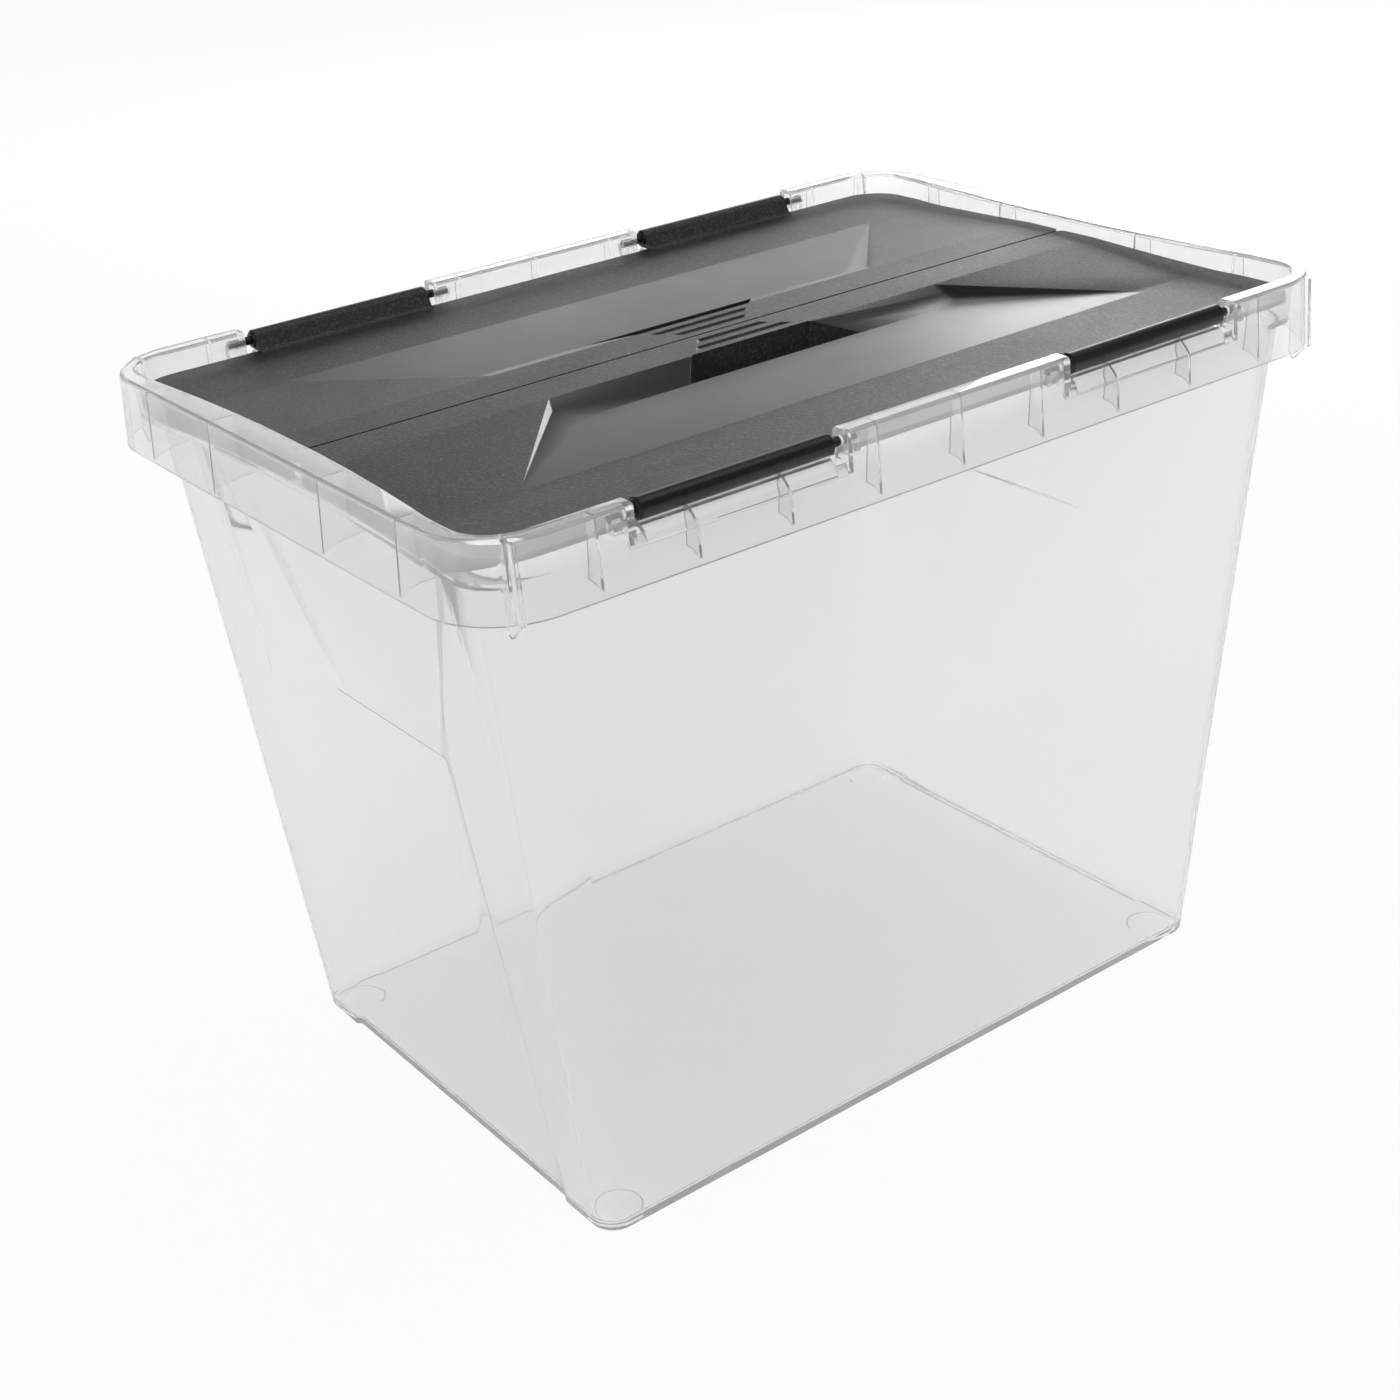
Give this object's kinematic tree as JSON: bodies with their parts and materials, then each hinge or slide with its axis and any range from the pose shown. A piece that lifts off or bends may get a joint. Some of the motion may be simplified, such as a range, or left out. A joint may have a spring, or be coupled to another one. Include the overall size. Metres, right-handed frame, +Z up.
{
  "type": "portable file box",
  "caption": "Tapered clear file tub with a skirted rim, pinched end walls and hinged lid wings that meet at a ribbed carrying grip between finger pockets.",
  "frame": {"origin": "middle of the tub's flat underside, where the box rests", "axes": "+X along the long side, +Y from the front long side to the back one, +Z up"},
  "size_m": [0.4032, 0.2738, 0.2961],
  "materials": {
    "clear_polypropylene": "clear, slightly hazy moulded polypropylene",
    "grained_grey_plastic": "fine-grained dark grey moulded polypropylene"
  },
  "bodies": {
    "tub": {"tub": "clear_polypropylene"},
    "front_wing": {"front_wing": "grained_grey_plastic"},
    "back_wing": {"back_wing": "grained_grey_plastic"}
  },
  "joints": [
    {"name": "front_hinge", "type": "hinge", "parent": "tub", "child": "front_wing", "pos_m": [0, -0.13, 0.2914], "axis": [1, 0, 0], "range_deg": [0, 155]},
    {"name": "back_hinge", "type": "hinge", "parent": "tub", "child": "back_wing", "pos_m": [0, 0.13, 0.2914], "axis": [-1, 0, 0], "range_deg": [0, 155]}
  ]
}
